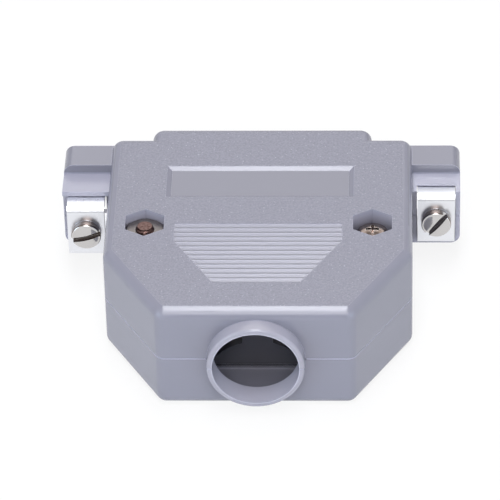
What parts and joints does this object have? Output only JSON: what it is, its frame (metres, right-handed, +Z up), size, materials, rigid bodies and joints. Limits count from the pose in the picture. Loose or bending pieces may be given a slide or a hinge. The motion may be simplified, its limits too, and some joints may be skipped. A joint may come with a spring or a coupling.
{
  "type": "d-sub connector hood",
  "caption": "Two-shell plastic hood for a D-sub cable connector, with captive slotted jackscrews in bent metal brackets and an inner cable clamp.",
  "frame": {"origin": "on the cable axis, in the plane of the seats that the connector flange rests on, where the two shells part", "axes": "+Y towards the connector along the cable axis, +X to the right seen from the cable outlet, +Z up through the upper shell"},
  "size_m": [0.0536, 0.0456, 0.0156],
  "materials": {
    "grey_plastic": "fine matt grain with smooth edges, bluish grey",
    "dark_plastic": "smooth moulded grey",
    "bright_plate": "mirror-bright nickel plate",
    "fastener_plate": "bright plated steel, slightly warm"
  },
  "bodies": {
    "hood": {"upper_shell": "grey_plastic", "lower_shell": "grey_plastic", "left_shell_screw": "fastener_plate", "right_shell_screw": "fastener_plate", "left_shell_nut": "fastener_plate", "right_shell_nut": "fastener_plate", "upper_clamp_bar": "dark_plastic", "lower_clamp_bar": "dark_plastic", "left_clamp_screw": "fastener_plate", "right_clamp_screw": "fastener_plate", "left_clamp_nut": "fastener_plate", "right_clamp_nut": "fastener_plate"},
    "left_bracket": {"left_bracket": "bright_plate"},
    "right_bracket": {"right_bracket": "bright_plate"},
    "left_jackscrew": {"left_jackscrew": "bright_plate"},
    "right_jackscrew": {"right_jackscrew": "bright_plate"}
  },
  "joints": [
    {"name": "left_bracket_slide", "type": "slide", "parent": "hood", "child": "left_bracket", "axis": [0, -1, 0], "range_m": [-0.00265, 0.00045]},
    {"name": "right_bracket_slide", "type": "slide", "parent": "hood", "child": "right_bracket", "axis": [0, -1, 0], "range_m": [0, 0.0031]},
    {"name": "left_jackscrew_turn", "type": "hinge", "parent": "left_bracket", "child": "left_jackscrew", "pos_m": [-0.02352, 0, 0], "axis": [0, 1, 0], "continuous": true},
    {"name": "right_jackscrew_turn", "type": "hinge", "parent": "right_bracket", "child": "right_jackscrew", "pos_m": [0.02352, 0, 0], "axis": [0, 1, 0], "continuous": true}
  ]
}
